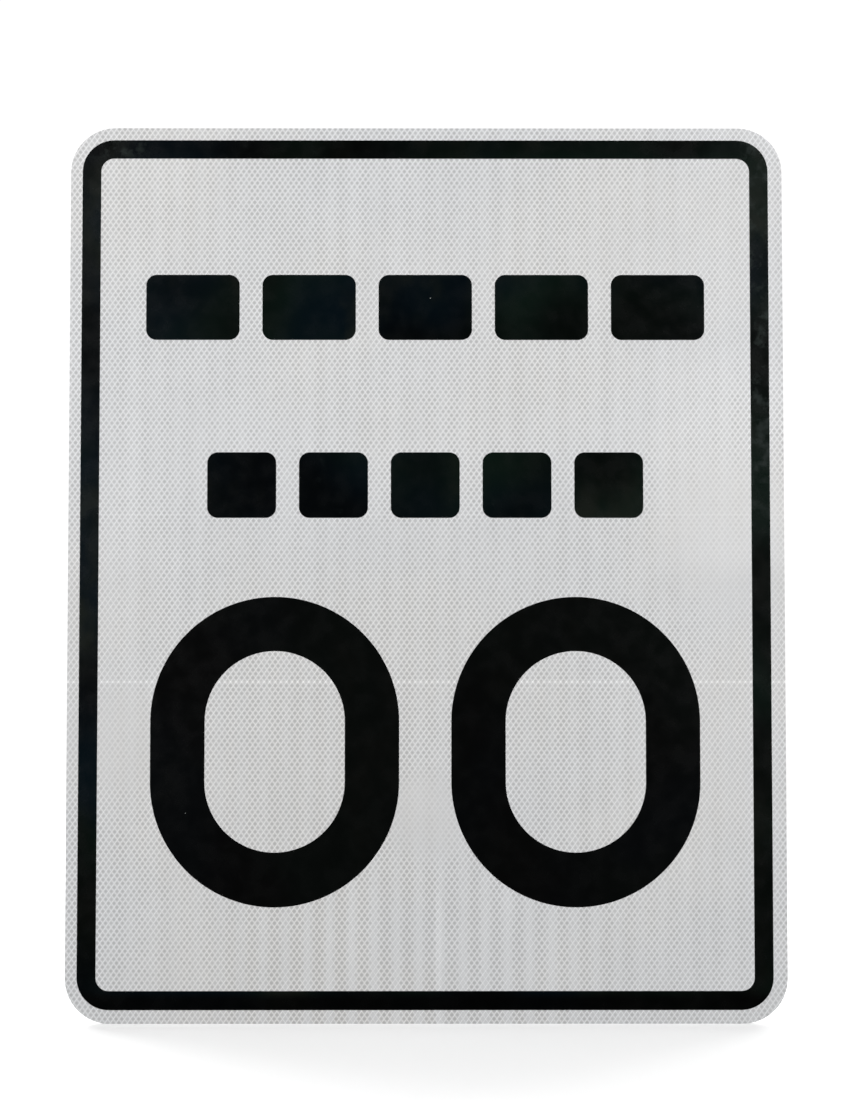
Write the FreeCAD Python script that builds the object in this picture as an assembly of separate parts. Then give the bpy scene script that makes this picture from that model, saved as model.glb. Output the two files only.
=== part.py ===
"""Flat road sign panel: an aluminium blank that carries prismatic sheeting and a cut film legend.

Millimetres. The panel stands upright: +Z is up, the legend faces -Y, and the origin is the centre of the
blank's back face. Every layer is a flat solid that lies face to face on the layer behind it.
"""
import FreeCAD, Part
import math
import os

# Panel
PANEL_WIDTH = 609.6
PANEL_HEIGHT = 762.0
CORNER_RADIUS = 38.1

# Layers, from the back to the front
BLANK_THICKNESS = 2.03
ADHESIVE_THICKNESS = 0.05
BACKING_THICKNESS = 0.08
PRISM_FILM_THICKNESS = 0.27
LEGEND_FILM_THICKNESS = 0.08
BACK_EDGE_DEBURR = 0.25

# The legend is laid down as one set, a little off the panel's centre
LEGEND_SHIFT_X = -1.0
LEGEND_SHIFT_Z = 0.5

# Black band round the edge
BAND_MARGIN = 11.0
BAND_WIDTH = 15.875
SMALLEST_INNER_RADIUS = 3.0

# Two rows of plain film pieces, placed from the top of the band's opening
ROW_SIDE_CLEARANCES = (39.3, 92.2)
TOP_CLEARANCE = 77.6
ROW_HEIGHT = 101.6
ROW_GAP = 50.8
PIECES_PER_ROW = 5
PIECE_GAP = 19.6
PIECE_HEIGHT = 56.0
PIECE_CORNER_RADIUS = 9.0

# Two large numerals, between the second row and the bottom of the band's opening
NUMERAL_SIDE_CLEARANCE = 44.9
NUMERAL_GAP = 44.3
NUMERAL_TOP_CLEARANCE = 44.5
NUMERAL_BOTTOM_CLEARANCE = 70.0
NUMERAL_STROKE = 46.0

# Planes between the layers, on Y
BLANK_BACK = 0.0
BLANK_FRONT = BLANK_BACK - BLANK_THICKNESS
ADHESIVE_FRONT = BLANK_FRONT - ADHESIVE_THICKNESS
BACKING_FRONT = ADHESIVE_FRONT - BACKING_THICKNESS
SHEETING_FRONT = BACKING_FRONT - PRISM_FILM_THICKNESS

SHORTEST_EDGE = 0.001


def arc_points(centre_x, centre_z, radius, start_degrees, y):
    """Start, middle and end of a quarter circle in the plane at y."""
    points = []
    for turn in (0, 45, 90):
        angle = math.radians(start_degrees + turn)
        x = centre_x + radius * math.cos(angle)
        z = centre_z + radius * math.sin(angle)
        points.append(FreeCAD.Vector(x, y, z))
    return points


def rounded_outline(width, height, radius, centre, y):
    """Closed wire of a rectangle with four equal corner arcs. Sides that the arcs use up are left out."""
    radius = min(radius, width / 2, height / 2)
    reach_x = width / 2 - radius
    reach_z = height / 2 - radius
    corners = ((1, 1, 0), (-1, 1, 90), (-1, -1, 180), (1, -1, 270))
    arcs = []
    for side_x, side_z, start in corners:
        centre_x = centre[0] + side_x * reach_x
        centre_z = centre[1] + side_z * reach_z
        arcs.append(arc_points(centre_x, centre_z, radius, start, y))
    edges = []
    for index, arc in enumerate(arcs):
        edges.append(Part.Arc(*arc).toShape())
        following = arcs[(index + 1) % len(arcs)]
        if arc[2].distanceToPoint(following[0]) > SHORTEST_EDGE:
            edges.append(Part.makeLine(arc[2], following[0]))
    return Part.Wire(edges)


def slab(width, height, radius, centre, back, thickness):
    """Flat solid with rounded corners, from the plane at back towards the viewer."""
    outline = rounded_outline(width, height, radius, centre, back)
    return Part.Face(outline).extrude(FreeCAD.Vector(0, -thickness, 0))


def sheeting_layer(back, thickness):
    """Layer of the sheeting, trimmed flush with the panel's edge."""
    return slab(PANEL_WIDTH, PANEL_HEIGHT, CORNER_RADIUS, (0, 0), back, thickness)


def legend_film(width, height, radius, centre):
    """Piece of legend film on the sheeting's face. Its centre is measured from the legend's own centre."""
    shifted = (centre[0] + LEGEND_SHIFT_X, centre[1] + LEGEND_SHIFT_Z)
    return slab(width, height, radius, shifted, SHEETING_FRONT, LEGEND_FILM_THICKNESS)


def film_ring(width, height, radius, stroke, centre):
    """Closed ring of legend film, the same stroke all the way round."""
    outside = legend_film(width, height, radius, centre)
    inner_radius = max(radius - stroke, SMALLEST_INNER_RADIUS)
    inside = legend_film(width - 2 * stroke, height - 2 * stroke, inner_radius, centre)
    return outside.cut(inside).Solids[0]


def aluminium_blank():
    """Sheet blank. The edges of its back face are deburred."""
    blank = slab(PANEL_WIDTH, PANEL_HEIGHT, CORNER_RADIUS, (0, 0), BLANK_BACK, BLANK_THICKNESS)
    back_edges = [edge for edge in blank.Edges if edge.BoundBox.YMin > BLANK_BACK - SHORTEST_EDGE]
    return blank.makeChamfer(BACK_EDGE_DEBURR, back_edges)


def border_band():
    """Black band that follows the panel's edge, and its rounded corners, at an even margin."""
    width = PANEL_WIDTH - 2 * BAND_MARGIN
    height = PANEL_HEIGHT - 2 * BAND_MARGIN
    radius = max(CORNER_RADIUS - BAND_MARGIN, SMALLEST_INNER_RADIUS)
    return film_ring(width, height, radius, BAND_WIDTH, (0, 0))


def band_opening():
    """Width and height of the space inside the band."""
    border = 2 * (BAND_MARGIN + BAND_WIDTH)
    return PANEL_WIDTH - border, PANEL_HEIGHT - border


def row_top(row):
    """Height of the top of a row above the legend's centre. Row 0 is the upper one."""
    opening_height = band_opening()[1]
    return opening_height / 2 - TOP_CLEARANCE - row * (ROW_HEIGHT + ROW_GAP)


def legend_rows():
    """Named blocks of the two rows, all one height and, in each row, all one width."""
    pieces = {}
    opening_width = band_opening()[0]
    for row, side_clearance in enumerate(ROW_SIDE_CLEARANCES):
        row_width = opening_width - 2 * side_clearance
        width = (row_width - (PIECES_PER_ROW - 1) * PIECE_GAP) / PIECES_PER_ROW
        z = row_top(row) - ROW_HEIGHT / 2
        for index in range(PIECES_PER_ROW):
            x = -row_width / 2 + width / 2 + index * (width + PIECE_GAP)
            name = f"legend_row{row + 1}_piece_{index + 1}"
            pieces[name] = legend_film(width, PIECE_HEIGHT, PIECE_CORNER_RADIUS, (x, z))
    return pieces


def numerals():
    """Two plain zeros. Each is a ring whose outer corners are as round as its width and height allow."""
    opening_width, opening_height = band_opening()
    width = (opening_width - 2 * NUMERAL_SIDE_CLEARANCE - NUMERAL_GAP) / 2
    top = row_top(len(ROW_SIDE_CLEARANCES) - 1) - ROW_HEIGHT - NUMERAL_TOP_CLEARANCE
    bottom = NUMERAL_BOTTOM_CLEARANCE - opening_height / 2
    height = top - bottom
    radius = min(width, height) / 2
    x = (width + NUMERAL_GAP) / 2
    z = (top + bottom) / 2
    return {
        "numeral_left": film_ring(width, height, radius, NUMERAL_STROKE, (-x, z)),
        "numeral_right": film_ring(width, height, radius, NUMERAL_STROKE, (x, z)),
    }


def build():
    """Every piece of the sign by its node's name."""
    pieces = {
        "aluminium_blank": aluminium_blank(),
        "sheeting_adhesive": sheeting_layer(BLANK_FRONT, ADHESIVE_THICKNESS),
        "sheeting_backing_film": sheeting_layer(ADHESIVE_FRONT, BACKING_THICKNESS),
        "sheeting_prism_film": sheeting_layer(BACKING_FRONT, PRISM_FILM_THICKNESS),
        "border_band": border_band(),
    }
    pieces.update(legend_rows())
    pieces.update(numerals())
    return pieces


os.makedirs("parts", exist_ok=True)
for node, solid in build().items():
    solid.exportStep(f"parts/{node}.step")
    print(f"{node}: {solid.Volume:.1f} mm3, valid {solid.isValid()}, solids {len(solid.Solids)}")
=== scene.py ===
"""Looks of the flat road sign panel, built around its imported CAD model. Metres, in the model's own frame.

The panel stands upright and its legend faces -Y. The sheeting's face film is rebuilt here with its lattice of
sealed cells. The blank, the thin layers behind the face film and the black legend keep their CAD shapes.
"""
import math

import bpy
import numpy as np
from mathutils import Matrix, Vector


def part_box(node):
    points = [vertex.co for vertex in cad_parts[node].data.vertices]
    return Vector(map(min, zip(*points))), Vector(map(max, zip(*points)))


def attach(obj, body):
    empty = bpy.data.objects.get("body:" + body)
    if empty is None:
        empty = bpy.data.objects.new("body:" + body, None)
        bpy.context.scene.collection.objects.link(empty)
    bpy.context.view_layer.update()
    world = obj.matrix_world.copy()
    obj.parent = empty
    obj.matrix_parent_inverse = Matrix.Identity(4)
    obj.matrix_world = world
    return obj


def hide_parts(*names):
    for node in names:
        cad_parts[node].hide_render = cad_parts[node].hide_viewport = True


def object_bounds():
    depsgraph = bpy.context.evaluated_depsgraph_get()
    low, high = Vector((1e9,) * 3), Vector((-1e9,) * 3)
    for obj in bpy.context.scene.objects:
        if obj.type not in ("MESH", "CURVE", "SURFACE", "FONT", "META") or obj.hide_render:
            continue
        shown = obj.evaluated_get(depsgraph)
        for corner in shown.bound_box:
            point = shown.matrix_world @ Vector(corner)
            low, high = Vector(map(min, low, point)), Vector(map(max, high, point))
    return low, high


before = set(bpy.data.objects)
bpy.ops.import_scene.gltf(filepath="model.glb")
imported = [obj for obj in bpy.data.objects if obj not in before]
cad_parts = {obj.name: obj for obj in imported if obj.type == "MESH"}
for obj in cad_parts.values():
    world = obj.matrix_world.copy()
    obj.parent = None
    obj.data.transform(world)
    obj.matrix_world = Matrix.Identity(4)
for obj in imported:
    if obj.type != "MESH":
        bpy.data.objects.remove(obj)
CAD_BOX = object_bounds()

MM = 0.001

# Lattice of sealed cells: each cell is a diamond of this width and height
CELL_WIDTH = 4.75 * MM
CELL_HEIGHT = 6.67 * MM
PILLOW_HEIGHT = 0.06 * MM
SEAL_WIDTHS = (0.58 * MM, 0.68 * MM)
SEAL_TOP_SHARE = 0.75
SEAL_RISE = 0.02 * MM
SEAL_STEP = 0.002 * MM

# Faint marks that the sheeting's tooling leaves: stripes, level seams and one upright seam
STRIPE_PITCH = 18.75 * MM
STRIPE_OFFSET = 2.8 * MM
LEVEL_SEAMS = ((-93.6 * MM, 0.17), (48.7 * MM, 0.036))
UPRIGHT_SEAM = 10.0 * MM
SEAM_WIDTH = 1.2 * MM

# Soft patches where the lattice fades: x, z and radius of each, and how far it fades there
SOFT_PATCHES = (
    (262 * MM, 30 * MM, 95 * MM, 0.58),
    (2 * MM, -207 * MM, 52 * MM, 0.60),
    (-262 * MM, -140 * MM, 60 * MM, 0.40),
)

# How strong the upright seam and the stripes are, and the stripes' share where they are faintest
UPRIGHT_SEAM_STRENGTH = 0.06
STRIPE_STRENGTH = 0.015
FAINTEST_STRIPE = 0.22

# Greys and whites of the face film and its welded lines
CELL_GREY = (0.668, 0.668, 0.668, 1.0)
CELL_CENTRE_GREY = (0.505, 0.505, 0.505, 1.0)
SEAL_WHITES = ((0.75, 0.75, 0.75, 1.0), (0.85, 0.85, 0.85, 1.0))
WHITE = (1.0, 1.0, 1.0, 1.0)
FILM_IOR = 1.49

# Mesh building: half cells beyond the panel, how far the trim reaches past the film, and tolerances
SPARE_CELLS = 3
TRIM_OVERHANG = 1 * MM
SAME_PLANE = 0.01 * MM
SHARP_ANGLE = 30
PARALLEL = 1e-12

# Camera
CAMERA_DISTANCE = 1.5
CAMERA_HEIGHT = -0.049
CAMERA_PITCH = 2.253
CAMERA_YAW = -0.116
CAMERA_LENS = 56.62
CAMERA_SENSOR = 36.0

# Floor: its radius and sides, and where it starts and stops fading into the backdrop
FLOOR_RADIUS = 2.4
FLOOR_SIDES = 96
FLOOR_FADE = (0.5, 2.2)

# Softboxes: name, place, size and watts of each
SOFTBOXES = (
    ("key_left", (-2.05, -1.9, 0.62), 2.2, 64),
    ("key_right", (2.05, -1.9, 0.62), 2.2, 65),
    ("back_left", (-1.9, 1.7, 1.3), 1.4, 40),
    ("back_right", (1.7, 1.9, 1.0), 1.4, 30),
)


# -------------------------------------------------------------------------------------------- shader helpers

class Nodes:
    """Adds nodes to one node tree. A socket given as an input is linked, and anything else is its value."""

    def __init__(self, tree):
        self.tree = tree

    def add(self, kind, inputs=None, output=0, **settings):
        node = self.tree.nodes.new(kind)
        for name, value in settings.items():
            setattr(node, name, value)
        for key, value in (inputs or {}).items():
            if isinstance(value, bpy.types.NodeSocket):
                self.tree.links.new(value, node.inputs[key])
            else:
                node.inputs[key].default_value = value
        return node.outputs[output] if node.outputs else None

    def math(self, operation, first, second=0.0):
        return self.add("ShaderNodeMath", {0: first, 1: second}, operation=operation)

    def position(self):
        """Position on the piece, in metres in the model's frame."""
        return self.add("ShaderNodeTexCoord", output="Object")

    def split(self, vector):
        node = self.add("ShaderNodeSeparateXYZ", {0: vector}).node
        return node.outputs[0], node.outputs[1], node.outputs[2]

    def join(self, x, y, z):
        return self.add("ShaderNodeCombineXYZ", {0: x, 1: y, 2: z})

    def stretch(self, vector, scale):
        return self.add("ShaderNodeVectorMath", {0: vector, 1: scale}, operation="MULTIPLY")

    def noise(self, vector, scale, detail=2.0, roughness=0.5):
        inputs = {"Vector": vector, "Scale": scale, "Detail": detail, "Roughness": roughness}
        return self.add("ShaderNodeTexNoise", inputs)

    def white(self, vector):
        return self.add("ShaderNodeTexWhiteNoise", {"Vector": vector})

    def remap(self, value, low, high, to_low=0.0, to_high=1.0):
        inputs = {"Value": value, "From Min": low, "From Max": high, "To Min": to_low, "To Max": to_high}
        return self.add("ShaderNodeMapRange", inputs, interpolation_type="SMOOTHSTEP")

    def mix(self, factor, first, second):
        inputs = {0: factor, 6: first, 7: second}
        return self.add("ShaderNodeMix", inputs, output=2, data_type="RGBA")

    def tint(self, colour, strength):
        """Colour times a number."""
        return self.add("ShaderNodeVectorMath", {0: colour, "Scale": strength}, operation="SCALE")

    def blend(self, first, second):
        """One colour times another."""
        return self.add("ShaderNodeVectorMath", {0: first, 1: second}, operation="MULTIPLY")

    def bump(self, height, distance, strength):
        inputs = {"Height": height, "Distance": distance, "Strength": strength}
        return self.add("ShaderNodeBump", inputs)


def new_material(name, build):
    """Material whose Principled shader gets the values and sockets that build(nodes) returns."""
    material = bpy.data.materials.new(name)
    material.use_nodes = True
    material.node_tree.nodes.clear()
    nodes = Nodes(material.node_tree)
    surface = nodes.add("ShaderNodeBsdfPrincipled", build(nodes))
    nodes.add("ShaderNodeOutputMaterial", {"Surface": surface})
    return material


def dress(piece, material):
    """Gives the whole piece one material."""
    piece.data.materials.clear()
    piece.data.materials.append(material)


# ------------------------------------------------------------------------------------------------- materials

def lattice(nodes, x, z):
    """Lattice coordinates of a point. Whole numbers of either lie on the sealed lines."""
    across = nodes.math("DIVIDE", x, CELL_WIDTH)
    up = nodes.math("DIVIDE", z, CELL_HEIGHT)
    return nodes.math("ADD", across, up), nodes.math("SUBTRACT", across, up)


def cell_marks(nodes, x, z):
    """(distance from the cell's centre in metres, the cell's own random number, x of the cell's centre)."""
    u, v = lattice(nodes, x, z)
    from_u = nodes.math("SUBTRACT", nodes.math("FRACT", u), 0.5)
    from_v = nodes.math("SUBTRACT", nodes.math("FRACT", v), 0.5)
    aside = nodes.math("MULTIPLY", nodes.math("ADD", from_u, from_v), CELL_WIDTH / 2)
    above = nodes.math("MULTIPLY", nodes.math("SUBTRACT", from_u, from_v), CELL_HEIGHT / 2)
    squares = nodes.math("ADD", nodes.math("POWER", aside, 2.0), nodes.math("POWER", above, 2.0))
    distance = nodes.math("SQRT", squares)
    column = nodes.math("FLOOR", u)
    row = nodes.math("FLOOR", v)
    number = nodes.white(nodes.join(column, row, 0.5))
    both = nodes.math("ADD", nodes.math("ADD", column, row), 1.0)
    centre_x = nodes.math("MULTIPLY", both, CELL_WIDTH / 2)
    return distance, number, centre_x


def stripe_wave(nodes, x, z, centre_x):
    """1 on the sheeting's dark upright stripes, -1 between them: faint, but plain at the bottom's middle."""
    turns = nodes.math("DIVIDE", nodes.math("SUBTRACT", centre_x, STRIPE_OFFSET), STRIPE_PITCH)
    wave = nodes.math("COSINE", nodes.math("MULTIPLY", turns, 2 * math.pi))
    low_down = nodes.remap(z, -0.34, -0.20, 1.0, 0.0)
    sideways = nodes.remap(nodes.math("ABSOLUTE", x), 0.07, 0.20, 1.0, 0.0)
    patch = nodes.math("MULTIPLY", low_down, sideways)
    plainness = nodes.math("MULTIPLY", patch, 1.0 - FAINTEST_STRIPE)
    return nodes.math("MULTIPLY", wave, nodes.math("ADD", FAINTEST_STRIPE, plainness))


def seam_light(nodes, x, z):
    """Extra brightness along the seams of the sheeting's tooling."""
    total = 0.0
    for height, strength in LEVEL_SEAMS:
        distance = nodes.math("ABSOLUTE", nodes.math("SUBTRACT", z, height))
        light = nodes.remap(distance, SEAM_WIDTH * 0.3, SEAM_WIDTH, strength, 0.0)
        total = nodes.math("ADD", light, total)
    distance = nodes.math("ABSOLUTE", nodes.math("SUBTRACT", x, UPRIGHT_SEAM))
    upright = nodes.remap(distance, SEAM_WIDTH, 3 * SEAM_WIDTH, UPRIGHT_SEAM_STRENGTH, 0.0)
    low_down = nodes.remap(z, -0.28, -0.26, 1.0, 0.0)
    return nodes.math("ADD", total, nodes.math("MULTIPLY", upright, low_down))


def painted_upper_light(nodes, x, z):
    """Painted light: extra brightness painted into the panel's upper half, where the light fell more
    strongly: some in the middle and at the left, most at the right.
    """
    inside = nodes.remap(nodes.math("ABSOLUTE", x), 0.16, 0.22, 1.0, 0.0)
    middle = nodes.math("MULTIPLY", inside, nodes.remap(z, 0.20, 0.27, 0.034, 0.018))
    middle = nodes.math("MULTIPLY", middle, nodes.remap(z, 0.03, 0.10))
    right = nodes.math("MULTIPLY", nodes.remap(x, 0.15, 0.25), nodes.remap(z, 0.13, 0.22, 0.085, 0.018))
    sides = nodes.math("ADD", right, nodes.remap(x, -0.25, -0.15, 0.028, 0.0))
    return nodes.math("ADD", middle, nodes.math("MULTIPLY", sides, nodes.remap(z, -0.015, 0.02)))


def sheeting_tone(nodes, position, x, z, wave):
    """Slow change of the sheeting's tone over the panel: tint, blotches, streaks, stripes and seams, plus
    painted light that brightens the upper half.
    """
    cool = (0.990, 0.998, 1.012, 1.0)
    warm = (1.006, 1.0, 0.990, 1.0)
    cooler = (0.985, 1.002, 1.02, 1.0)
    tint = nodes.mix(nodes.remap(nodes.noise(position, 4.0, 3.0), 0.4, 0.62), cool, warm)
    tint = nodes.mix(nodes.remap(wave, -0.9, 0.6, 0.5, 0.0), tint, cooler)
    blotch = nodes.remap(nodes.noise(position, 22.0, 4.0), 0.25, 0.75, 0.985, 1.015)
    streaks = nodes.noise(nodes.stretch(position, (1.0, 1.0, 0.035)), 90.0, 3.0)
    streak = nodes.remap(streaks, 0.3, 0.7, -0.013, 0.013)
    level = nodes.math("ADD", nodes.math("ADD", blotch, streak), seam_light(nodes, x, z))
    level = nodes.math("SUBTRACT", level, nodes.math("MULTIPLY", wave, STRIPE_STRENGTH))
    # Painted light: the upper half, most of all at the right, is brightened in the colour
    return nodes.tint(tint, nodes.math("ADD", level, painted_upper_light(nodes, x, z)))


def calm_area(nodes, x, z):
    """1 where the cells show fully, and less towards the right edge and at both edges beside the numerals."""
    right = nodes.remap(x, 0.10, 0.24, 0.0, 0.25)
    beside = nodes.remap(nodes.math("ABSOLUTE", x), 0.22, 0.26, 0.0, 0.25)
    level = nodes.math("MULTIPLY", nodes.remap(z, -0.24, -0.16), nodes.remap(z, 0.0, 0.05, 1.0, 0.0))
    return nodes.math("SUBTRACT", nodes.math("SUBTRACT", 1.0, right), nodes.math("MULTIPLY", beside, level))


def lattice_fade(nodes, x, z):
    """How far the lattice fades: 0 over most of the panel, and more in a few soft patches."""
    total = 0.0
    for patch_x, patch_z, radius, strength in SOFT_PATCHES:
        aside = nodes.math("POWER", nodes.math("SUBTRACT", x, patch_x), 2.0)
        above = nodes.math("POWER", nodes.math("SUBTRACT", z, patch_z), 2.0)
        distance = nodes.math("SQRT", nodes.math("ADD", aside, above))
        total = nodes.math("ADD", nodes.remap(distance, 0.35 * radius, radius, strength, 0.0), total)
    return total


def prism_film(nodes):
    """Clear face film over white: grey sealed cells, each darker at its centre."""
    position = nodes.position()
    x, _, z = nodes.split(position)
    distance, number, centre_x = cell_marks(nodes, x, z)
    wave = stripe_wave(nodes, x, z, centre_x)
    haze = nodes.remap(nodes.noise(position, 6.0, 2.0), 0.35, 0.65, 0.72, 1.12)
    haze = nodes.math("MULTIPLY", haze, calm_area(nodes, x, z))
    own = nodes.remap(number, 0.0, 1.0, 0.75, 1.25)
    strength = nodes.math("MULTIPLY", nodes.math("MULTIPLY", own, haze), nodes.math("ADD", 1.0, wave))
    kept = nodes.math("SUBTRACT", 1.0, lattice_fade(nodes, x, z))
    strength = nodes.math("MULTIPLY", strength, kept)
    dot = nodes.math("MULTIPLY", nodes.remap(distance, 0.5 * MM, 1.8 * MM, 1.0, 0.0), strength)
    cell = nodes.mix(dot, CELL_GREY, CELL_CENTRE_GREY)
    colour = nodes.blend(cell, sheeting_tone(nodes, position, x, z, wave))
    grain = nodes.noise(position, 2600.0, 1.0)
    return {
        "Base Color": colour,
        "Roughness": nodes.remap(grain, 0.3, 0.7, 0.34, 0.46),
        "IOR": FILM_IOR,
        "Specular IOR Level": 0.35,
        "Coat Weight": 0.2,
        "Coat Roughness": 0.12,
        "Normal": nodes.bump(grain, 0.006 * MM, 0.5),
    }


def seal_line(nodes):
    """Welded lines of the lattice, where the white backing shows through. One set is a little brighter."""
    position = nodes.position()
    x, _, z = nodes.split(position)
    _, _, centre_x = cell_marks(nodes, x, z)
    tone = sheeting_tone(nodes, position, x, z, stripe_wave(nodes, x, z, centre_x))
    fine = nodes.noise(position, 900.0, 2.0)
    white = nodes.mix(nodes.remap(fine, 0.3, 0.7), *SEAL_WHITES)
    _, v = lattice(nodes, x, z)
    from_middle = nodes.math("SUBTRACT", nodes.math("FRACT", nodes.math("ADD", v, 0.5)), 0.5)
    off_line = nodes.math("ABSOLUTE", from_middle)
    white = nodes.tint(white, nodes.remap(off_line, 0.06, 0.14, 1.03, 0.975))
    white = nodes.mix(lattice_fade(nodes, x, z), white, CELL_GREY)
    colour = nodes.blend(white, tone)
    return {"Base Color": colour, "Roughness": 0.42, "IOR": FILM_IOR, "Specular IOR Level": 0.35}


def black_film(depth):
    """Cut black film. A depth of 1 is a plain deep black, and 0 lets its faint tints and haze show fully."""

    def build(nodes):
        position = nodes.position()
        x, _, z = nodes.split(position)
        blue = (0.0006, 0.0032, 0.0052, 1.0)
        green = (0.0022, 0.0062, 0.0042, 1.0)
        grey = (0.0085, 0.0105, 0.0080, 1.0)
        dull = (0.019, 0.025, 0.023, 1.0)
        deep = (0.0012, 0.0012, 0.0012, 1.0)
        dust_grey = (0.30, 0.31, 0.30, 1.0)
        broad = nodes.math("ADD", nodes.noise(position, 6.0, 2.0), nodes.math("MULTIPLY", x, 0.35))
        colour = nodes.mix(nodes.remap(broad, 0.40, 0.58), blue, green)
        cloud = nodes.noise(nodes.stretch(position, (1.0, 1.0, 0.7)), 13.0, 5.0, 0.55)
        colour = nodes.mix(nodes.remap(cloud, 0.50, 0.72), colour, grey)
        shade = nodes.remap(nodes.noise(position, 8.0, 1.0), 0.36, 0.6, 0.25, 1.15)
        # Painted shade: the film, with its haze, is darkened towards the band's foot, and less towards its
        # top
        foot_shade = nodes.remap(z, -0.362, -0.350, 0.1, 1.0)
        end_shade = nodes.math("MULTIPLY", foot_shade, nodes.remap(z, 0.350, 0.362, 1.0, 0.6))
        colour = nodes.tint(colour, nodes.math("MULTIPLY", shade, end_shade))
        haze = nodes.remap(nodes.noise(position, 48.0, 5.0, 0.65), 0.62, 0.82, 0.0, 0.4)
        haze = nodes.math("MULTIPLY", haze, end_shade)
        scuffed = nodes.math("MULTIPLY", nodes.remap(x, 0.268, 0.274), nodes.remap(z, 0.02, 0.09))
        smudged = nodes.math("MULTIPLY", nodes.remap(x, -0.235, -0.25), nodes.remap(z, 0.352, 0.362))
        worn = nodes.math("MAXIMUM", scuffed, smudged)
        patches = nodes.remap(nodes.noise(position, 75.0, 3.0, 0.6), 0.48, 0.68, 0.0, 0.8)
        haze = nodes.math("MAXIMUM", haze, nodes.math("MULTIPLY", worn, patches))
        colour = nodes.mix(haze, colour, dull)
        colour = nodes.mix(depth, colour, deep)
        specks = nodes.add("ShaderNodeTexVoronoi", {"Vector": position, "Scale": 55.0}).node
        dust = nodes.remap(specks.outputs["Distance"], 0.018, 0.03, 1.0, 0.0)
        rare = nodes.remap(nodes.white(specks.outputs["Position"]), 0.955, 0.965)
        colour = nodes.mix(nodes.math("MULTIPLY", dust, rare), colour, dust_grey)
        distance, _, _ = cell_marks(nodes, x, z)
        peel = nodes.noise(position, 1300.0, 2.0)
        relief = nodes.math("ADD", nodes.remap(distance, 0.0, 2.4 * MM, 1.0, 0.0), peel)
        return {
            "Base Color": colour,
            "Roughness": nodes.remap(nodes.noise(position, 60.0, 3.0), 0.3, 0.7, 0.20, 0.29),
            "IOR": 1.46,
            "Specular IOR Level": 0.22,
            "Normal": nodes.bump(relief, 0.012 * MM, 0.6),
        }

    return build


def mill_aluminium(nodes):
    """Rolled sheet with its grain upright, a thin coat, scuffs, a few long scratches and sheared edges."""
    position = nodes.position()
    fine_grain = nodes.noise(nodes.stretch(position, (1.0, 1.0, 0.010)), 2400.0, 3.0, 0.7)
    grain = nodes.noise(nodes.stretch(position, (1.0, 1.0, 0.020)), 700.0, 4.0, 0.65)
    cloud = nodes.noise(position, 5.0, 4.0, 0.6)
    silver = (0.655, 0.665, 0.680, 1.0)
    coat = (0.645, 0.650, 0.630, 1.0)
    bright = (0.80, 0.81, 0.82, 1.0)
    sheared_grey = (0.60, 0.61, 0.62, 1.0)
    colour = nodes.mix(nodes.remap(cloud, 0.35, 0.7), silver, coat)
    colour = nodes.tint(colour, nodes.remap(grain, 0.3, 0.7, 0.93, 1.05))
    scuff = nodes.remap(nodes.noise(position, 90.0, 6.0, 0.75), 0.60, 0.74, 0.0, 0.6)
    turned = {"Vector": position, "Rotation": (0.0, 0.24, 0.0), "Scale": (1, 1, 0.02)}
    tilted = nodes.add("ShaderNodeMapping", turned)
    scratch = nodes.remap(nodes.noise(tilted, 900.0, 1.0), 0.785, 0.80)
    stretches = nodes.remap(nodes.noise(position, 14.0, 2.0), 0.56, 0.62)
    scratch = nodes.math("MULTIPLY", scratch, stretches)
    roughness = nodes.remap(fine_grain, 0.25, 0.75, 0.27, 0.40)
    roughness = nodes.math("ADD", roughness, nodes.math("MULTIPLY", scuff, 0.22))
    height = nodes.math("ADD", fine_grain, nodes.math("MULTIPLY", scuff, 0.4))
    height = nodes.math("SUBTRACT", height, nodes.math("MULTIPLY", scratch, 2.0))
    colour = nodes.mix(scratch, colour, bright)
    _, facing, _ = nodes.split(nodes.add("ShaderNodeTexCoord", output="Normal"))
    sheared = nodes.remap(nodes.math("ABSOLUTE", facing), 0.35, 0.6, 1.0, 0.0)
    tears = nodes.noise(nodes.stretch(position, (1.0, 0.08, 1.0)), 1500.0, 3.0, 0.7)
    colour = nodes.mix(sheared, colour, sheared_grey)
    torn_roughness = nodes.remap(tears, 0.3, 0.7, 0.42, 0.62)
    roughness = nodes.add("ShaderNodeMix", {0: sheared, 2: roughness, 3: torn_roughness})
    torn_height = nodes.math("MULTIPLY", tears, 6.0)
    height = nodes.add("ShaderNodeMix", {0: sheared, 2: height, 3: torn_height})
    return {
        "Base Color": colour,
        "Metallic": 1.0,
        "Roughness": roughness,
        "Anisotropic": 0.4,
        "Normal": nodes.bump(height, 0.004 * MM, 0.8),
    }


def backing_film(nodes):
    """Matt white film, seen only as a thin line at the panel's edge."""
    fine = nodes.noise(nodes.position(), 700.0, 2.0)
    colour = nodes.mix(fine, (0.82, 0.82, 0.81, 1.0), (0.9, 0.9, 0.89, 1.0))
    return {"Base Color": colour, "Roughness": 0.6}


def adhesive(nodes):
    """Clear acrylic adhesive, seen only as a hairline at the panel's edge."""
    fine = nodes.noise(nodes.position(), 500.0, 3.0)
    colour = nodes.mix(fine, (0.62, 0.60, 0.52, 1.0), (0.74, 0.72, 0.66, 1.0))
    return {"Base Color": colour, "Roughness": nodes.remap(fine, 0.3, 0.7, 0.25, 0.4)}


# --------------------------------------------------------------------------------------------- face geometry

def outline(node):
    """Points of a flat node's outline on X and Z, anticlockwise as seen from the front."""
    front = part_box(node)[0].y
    points = set()
    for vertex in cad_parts[node].data.vertices:
        x, y, z = vertex.co
        if y - front < SAME_PLANE:
            points.add((round(x, 7), round(z, 7)))
    return np.array(sorted(points, key=lambda point: math.atan2(point[1], point[0])))


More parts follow.
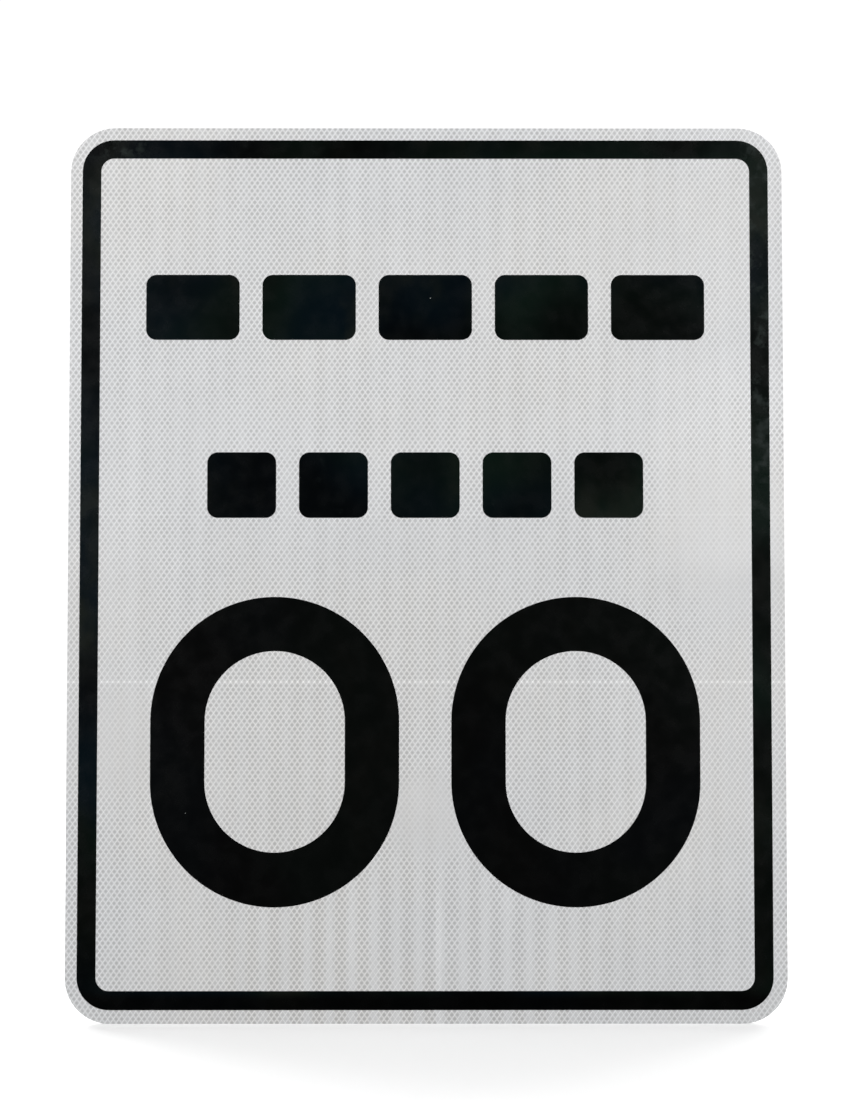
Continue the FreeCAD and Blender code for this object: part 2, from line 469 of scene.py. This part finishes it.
def mesh_piece(name, vertices, faces):
    """New object from plain lists of vertices and faces."""
    mesh = bpy.data.meshes.new(name)
    mesh.from_pydata(vertices, [], faces)
    mesh.validate()
    piece = bpy.data.objects.new(name, mesh)
    bpy.context.scene.collection.objects.link(piece)
    return piece


def prism(name, points, back, front):
    """Closed solid of an outline on X and Z, between two planes on Y."""
    count = len(points)
    vertices = [(x, back, z) for x, z in points] + [(x, front, z) for x, z in points]
    faces = [tuple(range(count))[::-1], tuple(range(count, 2 * count))]
    for index in range(count):
        following = (index + 1) % count
        faces.append((index, following, count + following, count + index))
    return mesh_piece(name, vertices, faces)


def pillowed_block(name, half_width, half_height, face, back):
    """Closed block, larger than the panel, whose front is the lattice: seals low, cell centres high."""
    columns = math.ceil(half_width / (CELL_WIDTH / 2)) + SPARE_CELLS
    rows = math.ceil(half_height / (CELL_HEIGHT / 2)) + SPARE_CELLS
    across = np.arange(-columns, columns + 1)
    up = np.arange(-rows, rows + 1)
    k, m = np.meshgrid(across, up, indexing="ij")
    raised = (k + m) % 2 == 1
    x = k * CELL_WIDTH / 2
    z = m * CELL_HEIGHT / 2
    y = np.where(raised, face, face + PILLOW_HEIGHT)
    number = np.arange(k.size).reshape(k.shape)
    inner = raised.copy()
    inner[0, :] = inner[-1, :] = False
    inner[:, 0] = inner[:, -1] = False
    i, j = np.nonzero(inner)
    centre = number[i, j]
    ring = (number[i + 1, j], number[i, j + 1], number[i - 1, j], number[i, j - 1])
    front = []
    for side in range(4):
        front.append(np.stack([centre, ring[side], ring[(side + 1) % 4]], axis=1))
    front = np.concatenate(front)
    used, packed = np.unique(front, return_inverse=True)
    front = packed.reshape(front.shape)
    vertices = np.stack([x.ravel()[used], y.ravel()[used], z.ravel()[used]], axis=1)
    behind = vertices.copy()
    behind[:, 1] = back
    count = len(vertices)
    edges = np.concatenate([front[:, [0, 1]], front[:, [1, 2]], front[:, [2, 0]]])
    forward = {tuple(edge) for edge in edges.tolist()}
    rim = [edge for edge in forward if edge[::-1] not in forward]
    walls = [(b, a, a + count, b + count) for a, b in sorted(rim)]
    faces = front.tolist() + (front[:, ::-1] + count).tolist() + walls
    return mesh_piece(name, np.concatenate([vertices, behind]).tolist(), faces)


def face_film(low, high, points):
    """Face film with its pillowed cells, trimmed flush with the panel's outline."""
    block = pillowed_block("face_film", high.x, high.z, low.y, high.y + TRIM_OVERHANG)
    trim = prism("trim", points, high.y, low.y - TRIM_OVERHANG)
    cut = block.modifiers.new("trim", "BOOLEAN")
    cut.operation = "INTERSECT"
    cut.solver = "MANIFOLD"
    cut.object = trim
    evaluated = block.evaluated_get(bpy.context.evaluated_depsgraph_get())
    trimmed = bpy.data.meshes.new_from_object(evaluated)
    block.modifiers.clear()
    block.data = trimmed
    bpy.data.objects.remove(trim)
    trimmed.polygons.foreach_set("use_smooth", [True] * len(trimmed.polygons))
    trimmed.set_sharp_from_angle(angle=math.radians(SHARP_ANGLE))
    return block


def clip(points, start, direction):
    """Where an endless line enters and leaves a convex outline, as two distances along it, or None."""
    enter, leave = -math.inf, math.inf
    for corner, following in zip(points, np.roll(points, -1, axis=0)):
        side = following - corner
        inward = np.array((-side[1], side[0]))
        rate = inward @ direction
        room = inward @ (start - corner)
        if abs(rate) < PARALLEL:
            if room < 0:
                return None
        elif rate > 0:
            enter = max(enter, -room / rate)
        else:
            leave = min(leave, -room / rate)
    return (enter, leave) if enter < leave else None


def seal_lines(points, valley):
    """Two crossing sets of low welded lines, one thin closed strip each, ended flush with the outline."""
    vertices, faces = [], []
    sides = ((0, 2, 3, 1), (2, 4, 5, 3), (4, 6, 7, 5), (6, 0, 1, 7), (0, 6, 4, 2), (1, 3, 5, 7))
    spacing = 1 / math.hypot(1 / CELL_WIDTH, 1 / CELL_HEIGHT)
    furthest = np.abs(points).sum(axis=1).max()
    reach = math.ceil(furthest / spacing)
    for family, lean in enumerate((1, -1)):
        across = np.array((1 / CELL_WIDTH, lean / CELL_HEIGHT)) * spacing
        along = np.array((across[1], -across[0]))
        base = valley + SEAL_RISE
        top = valley - SEAL_RISE - family * SEAL_STEP
        half = SEAL_WIDTHS[family] / 2
        half_top = half * SEAL_TOP_SHARE
        rails = ((-half, base), (-half_top, top), (half_top, top), (half, base))
        for line in range(-reach, reach + 1):
            corners = []
            for offset, y in rails:
                start = across * (line * spacing + offset)
                span = clip(points, start, along)
                if span is None:
                    break
                for distance in span:
                    x, z = start + along * distance
                    corners.append((x, y, z))
            if len(corners) < 2 * len(rails):
                continue
            first = len(vertices)
            vertices += corners
            for a, b, c, d in sides:
                faces.append((first + a, first + b, first + c, first + d))
    return mesh_piece("seal_lines", vertices, faces)


# ----------------------------------------------------------------------------------------------------- stage

def make_camera():
    """Camera a little below the panel's centre, looking slightly up at it."""
    data = bpy.data.cameras.new("camera")
    data.sensor_width = CAMERA_SENSOR
    data.lens = CAMERA_LENS
    camera = bpy.data.objects.new("camera", data)
    camera.location = (0.0, -CAMERA_DISTANCE, CAMERA_HEIGHT)
    camera.rotation_euler = (math.radians(90 + CAMERA_PITCH), 0.0, math.radians(CAMERA_YAW))
    bpy.context.scene.collection.objects.link(camera)
    bpy.context.scene.camera = camera


def softbox(name, place, size, watts):
    """Square area light aimed at the panel's centre."""
    data = bpy.data.lights.new(name, "AREA")
    data.shape = "SQUARE"
    data.size = size
    data.energy = watts
    lamp = bpy.data.objects.new(name, data)
    lamp.location = place
    lamp.rotation_euler = (-Vector(place)).to_track_quat("-Z", "Y").to_euler()
    bpy.context.scene.collection.objects.link(lamp)


def make_world():
    """White backdrop. What lights and mirrors in the panel is bright behind it and dim in front of it."""
    world = bpy.data.worlds.new("studio")
    world.use_nodes = True
    world.node_tree.nodes.clear()
    nodes = Nodes(world.node_tree)
    _, depth, height = nodes.split(nodes.add("ShaderNodeTexCoord", output="Generated"))
    behind = nodes.remap(height, -0.7, 0.7, 0.48, 0.85)
    room = nodes.remap(depth, -0.5, 0.5, 0.04, behind)
    backdrop = nodes.add("ShaderNodeBackground", {"Color": WHITE, "Strength": 1.05})
    light = nodes.add("ShaderNodeBackground", {"Color": WHITE, "Strength": room})
    seen = nodes.add("ShaderNodeLightPath", output="Is Camera Ray")
    surface = nodes.add("ShaderNodeMixShader", {0: seen, 1: light, 2: backdrop})
    nodes.add("ShaderNodeOutputWorld", {"Surface": surface})
    bpy.context.scene.world = world


def make_floor(height):
    """Plain pale floor that the panel stands on. It fades into the white backdrop further out."""
    ring = []
    for side in range(FLOOR_SIDES):
        angle = 2 * math.pi * side / FLOOR_SIDES
        ring.append((FLOOR_RADIUS * math.cos(angle), FLOOR_RADIUS * math.sin(angle), height))
    floor = mesh_piece("floor", ring, [tuple(range(FLOOR_SIDES))])
    material = bpy.data.materials.new("floor")
    material.use_nodes = True
    material.node_tree.nodes.clear()
    nodes = Nodes(material.node_tree)
    x, y, _ = nodes.split(nodes.position())
    squares = nodes.math("ADD", nodes.math("POWER", x, 2.0), nodes.math("POWER", y, 2.0))
    fade = nodes.remap(nodes.math("SQRT", squares), *FLOOR_FADE)
    matt = nodes.add("ShaderNodeBsdfDiffuse", {"Color": (0.93, 0.93, 0.93, 1.0)})
    lit = nodes.add("ShaderNodeEmission", {"Color": WHITE, "Strength": 0.22})
    paper = nodes.add("ShaderNodeAddShader", {0: matt, 1: lit})
    clear = nodes.add("ShaderNodeBsdfTransparent")
    below = nodes.add("ShaderNodeNewGeometry", output="Backfacing")
    unseen = nodes.math("MAXIMUM", fade, below)
    surface = nodes.add("ShaderNodeMixShader", {0: unseen, 1: paper, 2: clear})
    nodes.add("ShaderNodeOutputMaterial", {"Surface": surface})
    dress(floor, material)
    floor.visible_glossy = False
    floor.visible_diffuse = False


# ----------------------------------------------------------------------------------------------------- build

make_camera()
make_world()
bpy.context.scene.view_settings.view_transform = "Standard"
for box in SOFTBOXES:
    softbox(*box)
make_floor(CAD_BOX[0].z)

film_low, film_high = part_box("sheeting_prism_film")
edge_points = outline("sheeting_prism_film")

face = face_film(film_low, film_high, edge_points)
dress(face, new_material("prism_film", prism_film))
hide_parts("sheeting_prism_film")
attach(face, "root")

seals = seal_lines(edge_points, film_low.y + PILLOW_HEIGHT)
dress(seals, new_material("seal_line", seal_line))
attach(seals, "root")

row_film = new_material("row_film", black_film(0.0))
numeral_film = new_material("numeral_film", black_film(0.85))
for node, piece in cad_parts.items():
    if node.startswith("numeral"):
        dress(piece, numeral_film)
    elif node.startswith("legend") or node == "border_band":
        dress(piece, row_film)
dress(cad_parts["aluminium_blank"], new_material("mill_aluminium", mill_aluminium))
dress(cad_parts["sheeting_backing_film"], new_material("backing_film", backing_film))
dress(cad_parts["sheeting_adhesive"], new_material("adhesive", adhesive))
